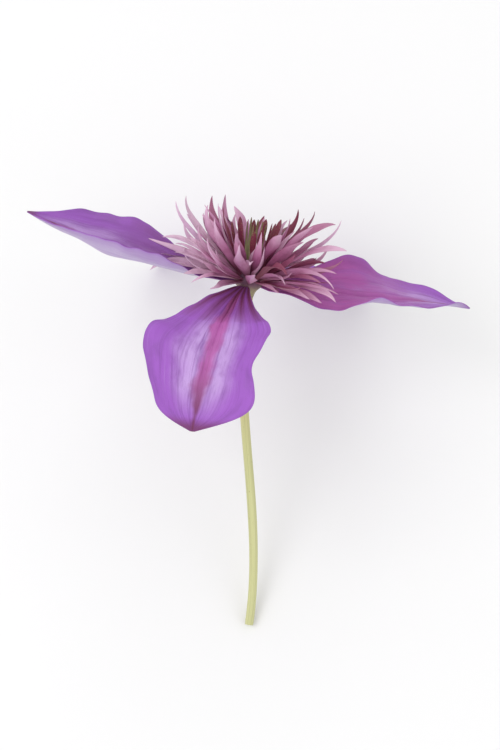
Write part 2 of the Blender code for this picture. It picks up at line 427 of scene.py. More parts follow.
def tint(piece, value):
    """Stores one number on the whole piece, which its material reads as its shade."""
    layer = piece.data.attributes.new("shade", "FLOAT", "POINT")
    layer.data.foreach_set("value", [value] * len(piece.data.vertices))


# ---------------------------------------------------------------- materials


class Finish:
    """A material in the making. Each method adds a node and returns its output."""

    def __init__(self, name, roughness=0.5):
        self.material = bpy.data.materials.new(name)
        self.material.use_nodes = True
        self.tree = self.material.node_tree
        self.shader = self.tree.nodes["Principled BSDF"]
        self.shader.inputs["Roughness"].default_value = roughness
        self.along, self.across, _ = self.split(self.add("ShaderNodeUVMap", uv_map="UVMap"))

    def add(self, kind, *values, output=0, **settings):
        node = self.tree.nodes.new(kind)
        for key, setting in settings.items():
            setattr(node, key, setting)
        for index, value in enumerate(values):
            self.feed(node.inputs[index], value)
        return node.outputs[output]

    def feed(self, socket, value):
        if isinstance(value, bpy.types.NodeSocket):
            self.tree.links.new(value, socket)
        elif value is not None:
            socket.default_value = value

    def split(self, vector):
        node = self.tree.nodes.new("ShaderNodeSeparateXYZ")
        self.tree.links.new(vector, node.inputs[0])
        return node.outputs[0], node.outputs[1], node.outputs[2]

    def math(self, operation, *values, clamp=False):
        return self.add("ShaderNodeMath", *values, operation=operation, use_clamp=clamp)

    def join(self, x, y, z=0.0):
        return self.add("ShaderNodeCombineXYZ", x, y, z)

    def step(self, value, low, high, to_low=0.0, to_high=1.0):
        """Eases from to_low to to_high as value goes from low to high."""
        if low > high:
            low, high, to_low, to_high = high, low, to_high, to_low
        return self.add(
            "ShaderNodeMapRange", value, low, high, to_low, to_high, interpolation_type="SMOOTHSTEP"
        )

    def mix(self, share, first, second):
        node = self.tree.nodes.new("ShaderNodeMix")
        node.data_type = "RGBA"
        self.feed(node.inputs[0], share)
        self.feed(node.inputs[6], first if isinstance(first, bpy.types.NodeSocket) else (*first, 1.0))
        self.feed(node.inputs[7], second if isinstance(second, bpy.types.NodeSocket) else (*second, 1.0))
        return node.outputs[2]

    def noise(self, vector, scale=1.0, detail=3.0, roughness=0.5):
        node = self.tree.nodes.new("ShaderNodeTexNoise")
        self.feed(node.inputs["Vector"], vector)
        node.inputs["Scale"].default_value = scale
        node.inputs["Detail"].default_value = detail
        node.inputs["Roughness"].default_value = roughness
        return node.outputs[0]

    def place(self):
        return self.add("ShaderNodeTexCoord", output=3)

    def shade(self):
        return self.add("ShaderNodeAttribute", attribute_name="shade", output=2)

    def colour(self, value):
        self.feed(self.shader.inputs["Base Color"], value)

    def gloss(self, value):
        self.feed(self.shader.inputs["Roughness"], value)

    def bump(self, height, distance, strength=0.5):
        node = self.tree.nodes.new("ShaderNodeBump")
        node.inputs["Strength"].default_value = strength
        node.inputs["Distance"].default_value = distance
        self.feed(node.inputs["Height"], height)
        self.feed(self.shader.inputs["Normal"], node.outputs[0])


def streaks(finish, across, density):
    """Fine lines that run along a piece and wander a little."""
    wander = finish.noise(finish.join(finish.math("MULTIPLY", finish.along, 2.4), across), 2.0, 2.0)
    shifted = finish.math("MULTIPLY_ADD", wander, 0.09, across)
    drawn_out = finish.math("MULTIPLY", finish.along, 2.2)
    vector = finish.join(drawn_out, finish.math("MULTIPLY", shifted, density))
    return finish.noise(vector, 1.0, 4.0, 0.6)


def vein_net(finish, across):
    """A fine net of veins between the long ones, 1 on a vein."""
    wander = finish.noise(finish.join(finish.math("MULTIPLY", finish.along, 9.0), across), 4.0, 2.0)
    shifted = finish.math("MULTIPLY_ADD", wander, 0.12, across)
    vector = finish.join(finish.math("MULTIPLY", finish.along, 26.0), finish.math("MULTIPLY", shifted, 15.0))
    cells = finish.tree.nodes.new("ShaderNodeTexVoronoi")
    cells.feature = "DISTANCE_TO_EDGE"
    cells.voronoi_dimensions = "2D"
    finish.feed(cells.inputs["Vector"], vector)
    return finish.step(cells.outputs["Distance"], 0.10, 0.0)


def main_veins(finish, away):
    """The two long veins on each side of the midrib, 1 on a vein."""
    wander = finish.noise(finish.join(finish.math("MULTIPLY", finish.along, 6.0), away), 1.0, 2.0)
    shifted = finish.math("MULTIPLY_ADD", wander, 0.06, away)
    inner = finish.step(finish.math("ABSOLUTE", finish.math("SUBTRACT", shifted, 0.18)), 0.035, 0.0)
    outer = finish.step(finish.math("ABSOLUTE", finish.math("SUBTRACT", shifted, 0.45)), 0.025, 0.0, 0.0, 0.7)
    return finish.math("MAXIMUM", inner, outer)


def tepal_face(colours):
    """Violet margins, a pale band on each side of a magenta bar, maroon stripes at the base, and a painted
    shadow of the boss over the base of the side tepals.
    """
    finish = Finish("tepal face")
    flush = finish.shade()
    signed = finish.math("MULTIPLY_ADD", finish.across, 2.0, -1.0)
    away = finish.math("ABSOLUTE", signed)
    broad = finish.noise(finish.join(finish.math("MULTIPLY", finish.along, 3.2), signed), 1.9, 3.0)
    wandering = finish.math("MULTIPLY_ADD", broad, 0.40, finish.math("SUBTRACT", away, 0.20))
    lines = streaks(finish, signed, 17.0)
    hair = streaks(finish, signed, 46.0)
    net = vein_net(finish, signed)

    pale = finish.math("MULTIPLY", finish.step(wandering, 0.66, 0.26), finish.step(finish.along, 0.22, 0.50))
    pale = finish.math("MULTIPLY", pale, finish.step(finish.along, 0.98, 0.74, 0.0, 0.85))
    colour = finish.mix(pale, colours.margin, colours.band)
    mottled = finish.join(finish.math("MULTIPLY", finish.along, 2.0), finish.math("MULTIPLY", signed, 1.4))
    cloud = finish.noise(mottled, 2.6, 4.0, 0.6)
    colour = finish.mix(finish.step(cloud, 0.46, 0.70, 0.0, 0.5), colour, [c * 0.66 for c in colours.margin])
    colour = finish.mix(finish.step(lines, 0.48, 0.72, 0.0, 0.6), colour, [c * 0.62 for c in colours.margin])
    light = [min(1.0, c * 1.1 + 0.04) for c in colours.band]
    colour = finish.mix(finish.step(hair, 0.56, 0.78, 0.0, 0.35), colour, light)
    colour = finish.mix(finish.math("MULTIPLY", net, 0.16), colour, [c * 0.6 for c in colours.margin])
    veins = main_veins(finish, away)
    colour = finish.mix(finish.math("MULTIPLY", veins, 0.35), colour, [c * 0.6 for c in colours.margin])

    narrow = finish.math("MULTIPLY_ADD", finish.along, 0.12, wandering)
    bar = finish.math("MULTIPLY", finish.step(narrow, 0.28, 0.12), 0.9)
    bar_colour = finish.mix(finish.step(finish.along, 0.60, 0.96), colours.bar, colours.maroon)
    bar_colour = finish.mix(finish.step(hair, 0.50, 0.70, 0.0, 0.45), bar_colour, colours.maroon)
    colour = finish.mix(bar, colour, bar_colour)

    # The maroon base reaches further on the side tepals, partly as a painted shadow of the boss over their
    # base.
    spread = finish.math("MULTIPLY_ADD", flush, 0.38, 0.22)
    base = finish.math("SUBTRACT", 1.0, finish.math("DIVIDE", finish.along, spread), clamp=True)
    stripe = finish.math("COSINE", finish.math("MULTIPLY", signed, 15.0))
    stripe = finish.math("MULTIPLY_ADD", stripe, 0.40, finish.math("MULTIPLY_ADD", lines, 0.8, 0.40))
    base = finish.math("MULTIPLY", finish.math("POWER", base, 0.5), stripe, clamp=True)
    colour = finish.mix(base, colour, colours.maroon)
    patchy = finish.step(cloud, 0.35, 0.60, 0.55, 1.0)
    # Painted shadow of the boss: mottled darker violet over the base of the side tepals.
    dark_and_shadow = finish.math("MULTIPLY", finish.step(flush, 0.45, 0.75), finish.step(finish.along, 0.95, 0.45))
    dark_and_shadow = finish.math("MULTIPLY", dark_and_shadow, finish.math("MULTIPLY", patchy, 0.75))
    colour = finish.mix(dark_and_shadow, colour, [c * 0.66 for c in colours.margin])
    rosy = finish.math("MULTIPLY", finish.step(flush, 0.75, 1.0), finish.step(finish.along, 0.90, 0.35))
    rosy = finish.math("MULTIPLY", rosy, patchy)
    colour = finish.mix(finish.math("MULTIPLY", rosy, 0.8), colour, colours.bar)
    colour = finish.mix(finish.step(finish.along, 0.93, 0.99, 0.0, 0.8), colour, colours.maroon)
    colour = finish.mix(finish.step(away, 0.93, 1.0, 0.0, 0.35), colour, [c * 0.7 for c in colours.margin])
    finish.colour(colour)

    finish.gloss(finish.step(lines, 0.3, 0.7, 0.46, 0.62))
    grain = finish.noise(finish.place(), 1800.0, 2.0)
    relief = finish.math("MULTIPLY_ADD", grain, 0.35, finish.math("ADD", lines, hair))
    relief = finish.math("MULTIPLY_ADD", net, -0.35, relief)
    relief = finish.math("MULTIPLY_ADD", veins, -0.8, relief)
    finish.bump(relief, 0.00022, 0.6)
    return finish.material


def tepal_back(colours):
    """Pale lavender, veined and edged with violet, with a cream band and raised veins along the middle."""
    finish = Finish("tepal underside", 0.55)
    signed = finish.math("MULTIPLY_ADD", finish.across, 2.0, -1.0)
    away = finish.math("ABSOLUTE", signed)
    broad = finish.noise(finish.join(finish.math("MULTIPLY", finish.along, 3.0), signed), 1.7, 3.0)
    wandering = finish.math("MULTIPLY_ADD", broad, 0.36, finish.math("SUBTRACT", away, 0.18))
    lines = streaks(finish, signed, 17.0)
    hair = streaks(finish, signed, 46.0)
    net = vein_net(finish, signed)
    veins = main_veins(finish, away)

    violet = [0.42 * m + 0.50 * u for m, u in zip(colours.margin, colours.underside)]
    light = [min(1.0, 0.75 * u + 0.22) for u in colours.underside]
    colour = finish.mix(finish.step(hair, 0.45, 0.70, 0.0, 0.7), colours.underside, light)
    colour = finish.mix(finish.step(wandering, 0.62, 0.98, 0.0, 0.8), colour, violet)
    colour = finish.mix(finish.step(lines, 0.46, 0.70, 0.0, 0.7), colour, violet)
    colour = finish.mix(finish.math("MULTIPLY", net, 0.30), colour, violet)
    rib = finish.math("MULTIPLY", finish.step(wandering, 0.34, 0.06), finish.step(finish.along, 1.0, 0.70))
    rib_colour = finish.mix(finish.step(hair, 0.45, 0.70), colours.rib, [0.78 * r for r in colours.rib])
    colour = finish.mix(finish.math("MULTIPLY", rib, 0.9), colour, rib_colour)
    green = [0.5 * r + 0.5 * s for r, s in zip(colours.rib, colours.stalk)]
    faded = finish.math("MULTIPLY", veins, finish.step(finish.along, 0.9, 0.3, 0.15, 0.7))
    colour = finish.mix(faded, colour, green)
    colour = finish.mix(finish.step(finish.along, 0.26, 0.02, 0.0, 0.85), colour, green)
    colour = finish.mix(finish.step(finish.along, 0.90, 1.0, 0.0, 0.7), colour, colours.margin)
    colour = finish.mix(finish.step(away, 0.94, 1.0, 0.0, 0.5), colour, colours.margin)
    finish.colour(colour)

    finish.gloss(finish.step(lines, 0.3, 0.7, 0.50, 0.68))
    grain = finish.noise(finish.place(), 1600.0, 2.0)
    relief = finish.math("MULTIPLY_ADD", net, 0.5, finish.math("ADD", lines, hair))
    relief = finish.math("MULTIPLY_ADD", veins, 1.2, relief)
    finish.bump(finish.math("MULTIPLY_ADD", grain, 0.4, relief), 0.00026, 0.7)
    return finish.material


def staminode_skin(colours):
    """Crimson, mauve or nearly white by the piece's shade, with a dark foot, fine lines, and darker edges
    painted as the shade in the gaps between staminodes.
    """
    finish = Finish("staminode skin")
    shade = finish.shade()
    lines = streaks(finish, finish.math("MULTIPLY", finish.across, 3.0), 6.0)
    pale = [0.40 * c + t for c, t in zip(colours.mauve, (0.56, 0.46, 0.54))]
    body = finish.mix(finish.step(shade, 0.0, 0.45), colours.crimson, colours.mauve)
    body = finish.mix(finish.step(shade, 0.5, 0.95), body, pale)
    patch = finish.noise(finish.place(), 420.0, 3.0)
    # A darker crimson, for random dark patches and lines and for the painted shade at the edges.
    dark_and_shadow = finish.mix(0.42, body, colours.crimson)
    colour = finish.mix(finish.step(patch, 0.45, 0.65, 0.0, 0.55), body, dark_and_shadow)
    foot = finish.step(finish.math("MULTIPLY_ADD", patch, 0.25, finish.along), 0.55, 0.12, 0.0, 0.95)
    colour = finish.mix(foot, colour, colours.crimson)
    tip = finish.step(finish.along, 0.45, 1.0, 0.0, 0.75)
    colour = finish.mix(finish.math("MULTIPLY", tip, finish.step(shade, 0.1, 0.6)), colour, pale)
    colour = finish.mix(finish.step(lines, 0.50, 0.72, 0.0, 0.6), colour, dark_and_shadow)
    # Painted shade: darker edges, standing in for the shadowed gaps between staminodes.
    edge_shadow = finish.math("ABSOLUTE", finish.math("COSINE", finish.math("MULTIPLY", finish.across, 2 * math.pi)))
    colour = finish.mix(finish.step(edge_shadow, 0.80, 1.0, 0.0, 0.5), colour, dark_and_shadow)
    finish.colour(colour)
    finish.gloss(finish.step(lines, 0.3, 0.7, 0.48, 0.62))
    finish.bump(lines, 0.00012, 0.6)
    return finish.material


def stamen_skin(colours):
    """A dark crimson anther, dusted with pollen, on a paler filament."""
    finish = Finish("stamen skin")
    filament = [0.5 * m + 0.5 * c for m, c in zip(colours.mauve, colours.crimson)]
    anther = finish.step(finish.along, 0.36, 0.50)
    colour = finish.mix(anther, filament, colours.crimson)
    dust = finish.noise(finish.place(), 2600.0, 2.0)
    dusted = finish.step(finish.along, 0.45, 0.7, 0.0, 0.7)
    specks = finish.math("MULTIPLY", finish.step(dust, 0.55, 0.66), dusted)
    colour = finish.mix(specks, colour, (0.24, 0.15, 0.07))
    finish.colour(colour)
    finish.gloss(finish.step(dust, 0.3, 0.7, 0.45, 0.7))
    finish.bump(dust, 0.00010, 0.6)
    return finish.material


def pistil_skin(colours):
    """Pale green at the foot, turning olive-brown at the tip, with silky hair along it."""
    finish = Finish("pistil skin")
    silk = streaks(finish, finish.math("MULTIPLY", finish.across, 4.0), 9.0)
    green = [0.7 * s + 0.02 for s in colours.stalk]
    colour = finish.mix(finish.step(finish.along, 0.30, 0.95), green, (0.16, 0.095, 0.04))
    colour = finish.mix(finish.step(silk, 0.5, 0.7, 0.0, 0.6), colour, (0.55, 0.52, 0.36))
    finish.colour(colour)
    finish.gloss(finish.step(silk, 0.3, 0.7, 0.4, 0.6))
    finish.bump(silk, 0.00012, 0.5)
    return finish.material


def receptacle_skin(colours):
    """Dull greenish purple below and dark purple above, mottled near-black: its own colours, darkened partly
    as painted shade under the boss.
    """
    finish = Finish("receptacle skin", 0.6)
    mottle = finish.noise(finish.place(), 900.0, 3.0)
    # Both colours are darkened, partly as painted shade under the boss.
    below = [0.40 * s + 0.30 * c for s, c in zip(colours.stalk, colours.crimson)]
    above = [0.50 * m + 0.05 * u for m, u in zip(colours.maroon, colours.underside)]
    colour = finish.mix(finish.step(finish.along, 0.10, 0.36), below, above)
    # Near-black mottle: painted shade under the boss.
    colour = finish.mix(finish.step(mottle, 0.5, 0.68, 0.0, 0.5), colour, (0.09, 0.06, 0.05))
    finish.colour(colour)
    finish.gloss(finish.step(mottle, 0.3, 0.7, 0.5, 0.7))
    finish.bump(mottle, 0.0002, 0.5)
    return finish.material


def stalk_skin(colours):
    """Yellow-green with fine ribs along it, tanned towards the head, and a few brown flecks."""
    finish = Finish("stalk skin")
    ribs = streaks(finish, finish.math("MULTIPLY", finish.across, 6.0), 4.0)
    tan = (0.62, 0.47, 0.20)
    colour = finish.mix(finish.step(finish.along, 0.55, 0.0, 0.0, 0.85), colours.stalk, tan)
    colour = finish.mix(finish.step(ribs, 0.46, 0.70, 0.0, 0.6), colour, [0.55 * s for s in colours.stalk])
    colour = finish.mix(finish.step(ribs, 0.40, 0.24, 0.0, 0.5), colour, (0.72, 0.70, 0.42))
    around = finish.math("MULTIPLY", finish.across, 9.0)
    flecks = finish.noise(finish.join(finish.math("MULTIPLY", finish.along, 60.0), around), 1.0, 2.0)
    colour = finish.mix(finish.step(flecks, 0.67, 0.76, 0.0, 0.45), colour, (0.24, 0.11, 0.05))
    finish.colour(colour)
    finish.gloss(finish.step(ribs, 0.3, 0.7, 0.40, 0.58))
    finish.bump(ribs, 0.00014, 0.6)
    return finish.material


def cut_skin():
    """The pale wet pith at the stalk's cut end, with a greener rim."""
    finish = Finish("cut pith", 0.35)
    pith = finish.noise(finish.place(), 3000.0, 3.0)
    finish.colour(finish.mix(finish.step(pith, 0.4, 0.65), (0.66, 0.68, 0.42), (0.42, 0.48, 0.20)))
    finish.gloss(finish.step(pith, 0.3, 0.7, 0.3, 0.5))
    finish.bump(pith, 0.0001, 0.5)
    return finish.material


# ---------------------------------------------------------------- tepals


def blade_outline(spec):
    """The tepal's share of its full width along its length, from broad to as slender as this one is."""
    return [(t, broad + (narrow - broad) * spec.slender) for t, broad, narrow in BLADE_OUTLINE]


def tepal_heading(spec, t):
    """The midrib's forward, side and upward directions at share t of its length."""
    rise = spec.rise_base + (spec.rise_tip - spec.rise_base) * t**1.2
    return heading(math.radians(rise), math.radians(2 * spec.sway * t))


def tepal_frames(spec, stations):
    """The midrib's points, with the blade's side and upward directions there."""
    at = Vector((CLAW_RADIUS, 0, CLAW_HEIGHT))
    frames = []
    for i in range(stations + 1):
        t = i / stations
        _, side, up = tepal_heading(spec, t)
        twist = spec.twist_base + (spec.twist_tip - spec.twist_base) * t
        frames.append((at.copy(), *roll(side, up, math.radians(twist))))
        at += tepal_heading(spec, (i + 0.5) / stations)[0] * (spec.length / stations)
    frames[0][0].x -= CLAW_TUCK
    return frames


def tepal_place(spec, trim, sizes):
    """The function that puts each point of the blank sheet on this tepal."""
    frames = tepal_frames(spec, BLADE_STATIONS)
    shares = eased(blade_outline(spec), BLADE_STATIONS)
    bulges = [eased(margin, BLADE_STATIONS) for margin in trim.margins]
    turn = outward(math.radians(spec.azimuth))

    def groove(across, centre, spread):
        return math.exp(-(((across - centre) / spread) ** 2))

    def rough(t, across, scale):
        return noise.noise(Vector((scale * t, 2.0 * across, spec.phase)))

    def place(co):
        t, across = co.x, co.y
        away = abs(across)
        row, hand = round(t * BLADE_STATIONS), 1 if across > 0 else 0
        at, side, up = frames[row]
        ease = math.sin(math.pi * t)
        half = spec.width / 2 * shares[row] * (CLAW_FOOT if row == 0 else 1)
        reach = across * (1 + (bulges[hand][row] - 1) * away)
        reach *= 1 + 0.04 * away * ease * rough(t, 3.0 * hand + 5.0, 8.0)
        lift = half * (spec.cup * away**2 + spec.fold * (math.hypot(across, FOLD_ROUNDING) - FOLD_ROUNDING))
        lift += half * trim.curl[hand] * away**4 * math.sin(math.pi * min(1.0, 1.15 * t))
        wave = math.sin(RIPPLE_TURNS * t + spec.phase + (RIPPLE_SHIFT if hand else 0))
        lift += spec.ripple * away**2 * ease * wave
        lift += 2.0 * sizes.ruffle * away**4 * ease * rough(t, 3.0 * hand, 11.0)
        ribs = groove(across, 0, 0.035) + 0.5 * groove(away, 0.15, 0.03) + 0.25 * groove(away, 0.42, 0.03)
        lift -= sizes.groove_depth * ribs * min(1.0, 6 * t) * min(1.0, 3 * (1 - t))
        lift += 0.0009 * rough(t, 1.6 * across, 6.0) * min(1.0, 4 * t) * ease
        return turn @ (at + side * (half * reach) + up * lift)

    return place


def make_tepal(spec, sheet, materials, sizes, matrix):
    """One tepal: the blank sheet bent to its shape, with a wall that thins towards its margins."""
    piece = copy_of(sheet, "fine_" + spec.name)
    group = piece.vertex_groups.new(name="thick")
    for vert in piece.data.vertices:
        group.add([vert.index], 1 - abs(vert.co.y) ** 3, "REPLACE")
    trim = TRIMS[spec.name]
    shape(piece, tepal_place(spec, trim, sizes), matrix)
    # The maroon flush of the base, which also sets how far the painted shadow of the boss reaches.
    tint(piece, trim.flush)
    pick(piece)
    for material in materials:
        piece.data.materials.append(material)
    wall = piece.modifiers.new("wall", "SOLIDIFY")
    wall.thickness = sizes.tepal_thickness
    wall.offset = 0.0
    wall.material_offset = 1
    wall.material_offset_rim = 0
    wall.vertex_group = group.name
    wall.thickness_vertex_group = MARGIN_THICKNESS
    bpy.ops.object.modifier_apply(modifier=wall.name)
    piece.vertex_groups.clear()
    finish_piece(piece, [spec.name])


# ---------------------------------------------------------------- the boss


def boss_seat(i):
    """Where piece i of the boss stands on the dome: its azimuth, and its angle from the head's axis."""
    share = (i + 0.5) / BOSS_COUNT
    return (i * GOLDEN_ANGLE) % (2 * math.pi), math.acos(min(1.0, share**0.9))


Stem = namedtuple("Stem", "azimuth polar length half_width half_thickness rise droop sway spin")
Frill = namedtuple("Frill", "hook wave phase channel spoon")
PLAIN = Frill(0.0, 0.0, 0.0, 0.0, 0.0)


def stem_heading(stem, frill, t):
    """The way that a piece of the boss goes at share t of its length."""
    rise = stem.rise - stem.droop * t**1.5 + frill.hook * t**4
    sway = stem.sway * t**1.3 + frill.wave * t * math.sin(8 * t + frill.phase)
    return heading(rise, sway)


def stem_place(stem, outline, stations, frill=PLAIN):
    """The function that puts each point of a blank rod on one curved pointed piece of the boss."""
    turn = outward(stem.azimuth)
    out = DOME_RADIUS * math.sin(stem.polar) + FOOT_GAP
    at = Vector((out, 0, DOME_HEIGHT * math.cos(stem.polar) + FOOT_GAP))
    widths = [(k / (len(outline) - 1), share) for k, share in enumerate(outline)]
    spoon = [(k / (len(SPOON_OUTLINE) - 1), share) for k, share in enumerate(SPOON_OUTLINE)]
    frames = []
    for i in range(stations + 1):
        t = i / stations
        along, side, up = stem_heading(stem, frill, t)
        side, up = roll(side, up, stem.spin * t)
        share = between(widths, t) * (1 - frill.spoon) + between(spoon, t) * frill.spoon
        wide = max(0.00012, stem.half_width * share)
        thick = max(0.00007, stem.half_thickness * (1 - 0.7 * t))
        tuck = along * BOSS_TUCK if i == 0 else Vector()
        frames.append((at - tuck, side * wide, up * thick, up * wide))
        at = at + stem_heading(stem, frill, t + 0.5 / stations)[0] * (stem.length / stations)

    def place(co):
        row = round(co.x * stations)
        at, side, thick, high = frames[row]
        narrow = 0.35 if row == stations else 1.0
        channel = high * (frill.channel * (abs(co.y) - 0.5))
        return turn @ (at + narrow * (side * co.y + thick * co.z + channel))

    return place


def flank(azimuth):
    """How much longer a staminode is at the sides than at the front and back."""
    return 1 + CROWN * (abs(math.sin(azimuth)) - 0.5)


def looseness(azimuth, inward):
    """How far a staminode hangs down: most at the boss's loose side, and only the outer ones."""
    off_side = math.degrees(azimuth) - LOOSE_AZIMUTH
    return math.exp(-((off_side / LOOSE_SPREAD) ** 2)) * max(0.0, 1 - 1.6 * inward)


def packed_stems():
    """The staminodes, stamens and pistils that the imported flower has, in turn along the spiral."""
    chance = random.Random(BOSS_SEED)
    for i in range(STAMINODE_COUNT):
        inward = i / STAMINODE_COUNT
        azimuth, polar = boss_seat(i)
        lift = RIGHT_LIFT * max(0.0, math.sin(azimuth))
        yield Stem(
            azimuth,
            polar,
            STAMINODE_LENGTH * (1 - 0.40 * inward**2.5) * flank(azimuth) + chance.uniform(-0.0020, 0.0014),
            STAMINODE_HALF_WIDTH * (1 - 0.25 * inward) * chance.uniform(0.8, 1.1),
            STAMINODE_HALF_THICKNESS,
            math.radians(20 + 42 * inward + lift + chance.uniform(-4, 4)),
            math.radians(8 + 60 * looseness(azimuth, inward) + chance.uniform(-12, 10)),
            math.radians(chance.uniform(-14, 14)),
            math.radians(chance.uniform(-75, 75)),
        )
    for n in range(STAMEN_COUNT):
        azimuth, polar = boss_seat(STAMINODE_COUNT + n)
        yield Stem(
            azimuth,
            polar,
            STAMEN_LENGTH + chance.uniform(-0.0012, 0.0012),
            STAMEN_HALF_WIDTH,
            STAMEN_HALF_THICKNESS,
            math.radians(66 + n + chance.uniform(-2, 2)),
            math.radians(-6),
            math.radians(chance.uniform(-6, 6)),
            math.radians(chance.uniform(-60, 60)),
        )
    for n in range(PISTIL_COUNT):
        azimuth, polar = boss_seat(STAMINODE_COUNT + STAMEN_COUNT + n)
        yield Stem(
            azimuth,
            polar,
            PISTIL_LENGTH + chance.uniform(-0.0010, 0.0010),
            PISTIL_HALF_WIDTH,
            PISTIL_HALF_THICKNESS,
            math.radians(80 + n),
            math.radians(-4),
            math.radians(chance.uniform(-4, 4)),
            0.0,
        )


def frilled(chance):
    """How one staminode curls, waves and folds. One in three is a spoon on a thin foot."""
    return Frill(
        math.radians(chance.uniform(-60, 85)),
        math.radians(chance.uniform(5, 22)),
        chance.uniform(0, 6),
        chance.uniform(0.2, 0.75),
        chance.choice((0.0, 0.3, 0.9)),
    )


def staminode_shade(chance, azimuth, inward):
    """From 0, crimson, to 1, nearly white: palest low on the left, and dark at the loose side and inside."""
    left = max(0.0, -math.sin(azimuth)) * (1 - inward)
    shade = 0.56 + 0.55 * left - 0.36 * inward - 0.20 * looseness(azimuth, inward)
    return min(1.0, max(0.0, shade + chance.uniform(-0.34, 0.34)))


def filler_stems(taken, count):
    """Small staminodes, each put where the boss is most open among a few tries, but none low at the front."""
    chance = random.Random(BOSS_SEED + 1)

    def way_of(azimuth, rise):
        return outward(azimuth) @ heading(rise, 0)[0]

    ways = [way_of(stem.azimuth, stem.rise) for stem in taken]
    for _ in range(count):
        tries = []
        for _ in range(24):
            azimuth = chance.uniform(0, 2 * math.pi)
            rise = math.radians(chance.uniform(6, 68))
            if math.cos(azimuth) > 0.9 and rise < 0.6:
                continue
            way = way_of(azimuth, rise)
            tries.append((min(way.angle(other) for other in ways), azimuth, rise, way))
        _, azimuth, rise, way = max(tries, key=lambda found: found[0])
        ways.append(way)
        inward = (math.degrees(rise) - 6) / 62
        yield Stem(
            azimuth,
            math.radians(90 - 42 * inward),
            (FILLER_LENGTH - 0.0050 * inward) * flank(azimuth) * chance.uniform(0.75, 1.15),
            chance.uniform(0.0008, 0.0014),
            FILLER_HALF_THICKNESS,
            rise,
            math.radians(chance.uniform(-12, 14) + 40 * looseness(azimuth, inward)),
            math.radians(chance.uniform(-14, 14)),
            math.radians(chance.uniform(-90, 90)),
        )


def make_stems(kind, skin, outline, stems):
    """The stamens or the pistils: one rod, copied and bent for each."""
    rod = blank_rod("blank_" + kind, STAMEN_STATIONS, STAMEN_SIDES)
    rod.data.materials.append(skin)
    matrix = head_matrix()
    for n, stem in enumerate(stems):
        piece = copy_of(rod, f"fine_{kind}_{n + 1:02d}")
        shape(piece, stem_place(stem, outline, STAMEN_STATIONS), matrix)
        finish_piece(piece, [f"{kind}_{n + 1:02d}"])
    discard(rod)


# ---------------------------------------------------------------- operators


class CLEMATIS_OT_tepals(bpy.types.Operator):
    """Models the five tepals"""

    bl_idname = "clematis.tepals"
    bl_label = "Tepals"
    bl_options = {"REGISTER", "UNDO"}

    def execute(self, context):
        sizes, colours = context.scene.clematis_sizes, context.scene.clematis_colours
        sheet = blank_sheet("blank_tepal", BLADE_STATIONS, BLADE_COLUMNS)
        materials = [tepal_face(colours), tepal_back(colours)]
        matrix = head_matrix()
        for spec in TEPALS:
            make_tepal(spec, sheet, materials, sizes, matrix)
        discard(sheet)
        return {"FINISHED"}


class CLEMATIS_OT_staminodes(bpy.types.Operator):
    """Models the staminodes, large and small"""

    bl_idname = "clematis.staminodes"
    bl_label = "Staminodes"
    bl_options = {"REGISTER", "UNDO"}

    def execute(self, context):
        sizes, colours = context.scene.clematis_sizes, context.scene.clematis_colours
        rod = blank_rod("blank_staminode", STAMINODE_STATIONS, STAMINODE_SIDES)
        rod.data.materials.append(staminode_skin(colours))
        matrix = head_matrix()
        chance = random.Random(BOSS_SEED + 2)
        packed = list(packed_stems())
        for n, stem in enumerate(packed[:STAMINODE_COUNT]):
            piece = copy_of(rod, f"fine_staminode_{n + 1:02d}")
            stem = stem._replace(half_width=stem.half_width * 1.15)
            shape(piece, stem_place(stem, STAMINODE_OUTLINE, STAMINODE_STATIONS, frilled(chance)), matrix)
            tint(piece, staminode_shade(chance, stem.azimuth, n / STAMINODE_COUNT))
            finish_piece(piece, [f"staminode_{n + 1:02d}"])
        for n, stem in enumerate(filler_stems(packed, sizes.filler_count)):
            piece = copy_of(rod, f"small_staminode_{n + 1:02d}")
            shape(piece, stem_place(stem, STAMINODE_OUTLINE, STAMINODE_STATIONS, frilled(chance)), matrix)
            tint(piece, staminode_shade(chance, stem.azimuth, 0.3))
            finish_piece(piece)
        discard(rod)
        return {"FINISHED"}


class CLEMATIS_OT_stamens(bpy.types.Operator):
    """Models the stamens inside the staminodes"""

    bl_idname = "clematis.stamens"
    bl_label = "Stamens"
    bl_options = {"REGISTER", "UNDO"}

    def execute(self, context):
        colours = context.scene.clematis_colours
        stems = list(packed_stems())[STAMINODE_COUNT : STAMINODE_COUNT + STAMEN_COUNT]
        make_stems("stamen", stamen_skin(colours), STAMEN_OUTLINE, stems)
        return {"FINISHED"}


class CLEMATIS_OT_pistils(bpy.types.Operator):
    """Models the tuft of pistils at the top of the boss"""

    bl_idname = "clematis.pistils"
    bl_label = "Pistils"
    bl_options = {"REGISTER", "UNDO"}

    def execute(self, context):
        colours = context.scene.clematis_colours
        stems = list(packed_stems())[STAMINODE_COUNT + STAMEN_COUNT :]
        make_stems("pistil", pistil_skin(colours), PISTIL_OUTLINE, stems)
        return {"FINISHED"}


class CLEMATIS_OT_receptacle(bpy.types.Operator):
    """Models the domed receptacle that carries the tepals and the boss"""

    bl_idname = "clematis.receptacle"
    bl_label = "Receptacle"
    bl_options = {"REGISTER", "UNDO"}

    def execute(self, context):
        colours = context.scene.clematis_colours
        rod = blank_rod("fine_receptacle", DOME_STATIONS, DOME_SIDES)
        outline = dome_outline()
        radii = eased([(k / (len(outline) - 1), r) for k, (r, _) in enumerate(outline)], DOME_STATIONS)
        heights = eased([(k / (len(outline) - 1), z) for k, (_, z) in enumerate(outline)], DOME_STATIONS)

        def place(co):
            row = round(co.x * DOME_STATIONS)
            radius = radii[row] * (1 + 0.04 * math.sin(5 * math.atan2(co.z, co.y)) * (1 - co.x))
            return Vector((radius * co.y, radius * co.z, heights[row]))

        shape(rod, place, head_matrix())
        rod.data.materials.append(receptacle_skin(colours))
        finish_piece(rod, ["receptacle"])
        return {"FINISHED"}


